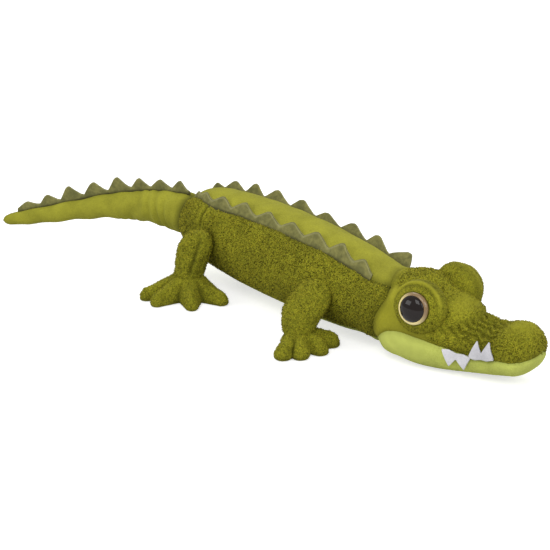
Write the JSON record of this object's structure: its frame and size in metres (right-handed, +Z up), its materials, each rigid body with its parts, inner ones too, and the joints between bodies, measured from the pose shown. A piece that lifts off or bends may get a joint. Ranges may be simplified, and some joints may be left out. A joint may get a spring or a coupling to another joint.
{
  "type": "plush crocodile",
  "caption": "Long stuffed crocodile toy lying low on short legs with splayed toes, a spined back, a curved tapering tail, raised glossy eyes and felt teeth.",
  "frame": {"origin": "middle of the bounding box, on the floor that the soles stand on", "axes": "+X towards the head, +Y towards the animal's left, +Z up"},
  "size_m": [0.559, 0.18, 0.0787],
  "materials": {
    "pile": "matte",
    "velour": "matte",
    "pale_velour": "matte",
    "suede": "matte",
    "felt": "matte",
    "filling": "matte",
    "iris": "gloss",
    "pupil": "gloss",
    "washer": "satin"
  },
  "bodies": {
    "body": {"back_panel": "velour", "back_spines_left": "suede", "back_spines_right": "suede", "belly_panel": "pale_velour", "body_filling": "filling", "body_side_left": "pile", "body_side_right": "pile"},
    "head": {"eye_left": "pupil", "eye_mound_left": "pile", "eye_mound_right": "pile", "eye_right": "pupil", "eye_rim_left": "iris", "eye_rim_right": "iris", "eye_washer_left": "washer", "eye_washer_right": "washer", "head_cover": "pile", "head_filling": "filling", "jaw_panel": "pale_velour", "lower_teeth_left": "felt", "lower_teeth_right": "felt", "upper_teeth_left": "felt", "upper_teeth_right": "felt"},
    "tail": {"tail_cover": "velour", "tail_filling": "filling", "tail_spines": "suede"},
    "leg_hind_right": {"foot_hind_right": "pile", "leg_filling_hind_right": "filling", "leg_hind_right": "pile"},
    "leg_hind_left": {"foot_hind_left": "pile", "leg_filling_hind_left": "filling", "leg_hind_left": "pile"},
    "leg_front_right": {"foot_front_right": "pile", "leg_filling_front_right": "filling", "leg_front_right": "pile"},
    "leg_front_left": {"foot_front_left": "pile", "leg_filling_front_left": "filling", "leg_front_left": "pile"}
  },
  "joints": [
    {"name": "neck_turn", "type": "hinge", "parent": "body", "child": "head", "pos_m": [0.14581, 0, 0.036], "axis": [0, 0, 1], "range_deg": [-31, 9], "stiffness_Nm_per_rad": 0.15},
    {"name": "tail_sway", "type": "hinge", "parent": "body", "child": "tail", "pos_m": [-0.08419, 0, 0.042], "axis": [0, 0, 1], "range_deg": [-22, 22], "stiffness_Nm_per_rad": 0.12},
    {"name": "hind_right_leg_swing", "type": "hinge", "parent": "body", "child": "leg_hind_right", "pos_m": [-0.03119, -0.0325, 0.03727], "axis": [0.1089, 0.9853, 0.1319], "range_deg": [-20, 20], "stiffness_Nm_per_rad": 0.25},
    {"name": "hind_left_leg_swing", "type": "hinge", "parent": "body", "child": "leg_hind_left", "pos_m": [-0.03119, 0.0325, 0.03727], "axis": [-0.1089, 0.9853, -0.1319], "range_deg": [-20, 20], "stiffness_Nm_per_rad": 0.25},
    {"name": "front_right_leg_swing", "type": "hinge", "parent": "body", "child": "leg_front_right", "pos_m": [0.10181, -0.03238, 0.03283], "axis": [-0.0858, 0.9875, 0.132], "range_deg": [-20, 20], "stiffness_Nm_per_rad": 0.25},
    {"name": "front_left_leg_swing", "type": "hinge", "parent": "body", "child": "leg_front_left", "pos_m": [0.10181, 0.03238, 0.03283], "axis": [0.0858, 0.9875, -0.132], "range_deg": [-20, 20], "stiffness_Nm_per_rad": 0.25}
  ]
}
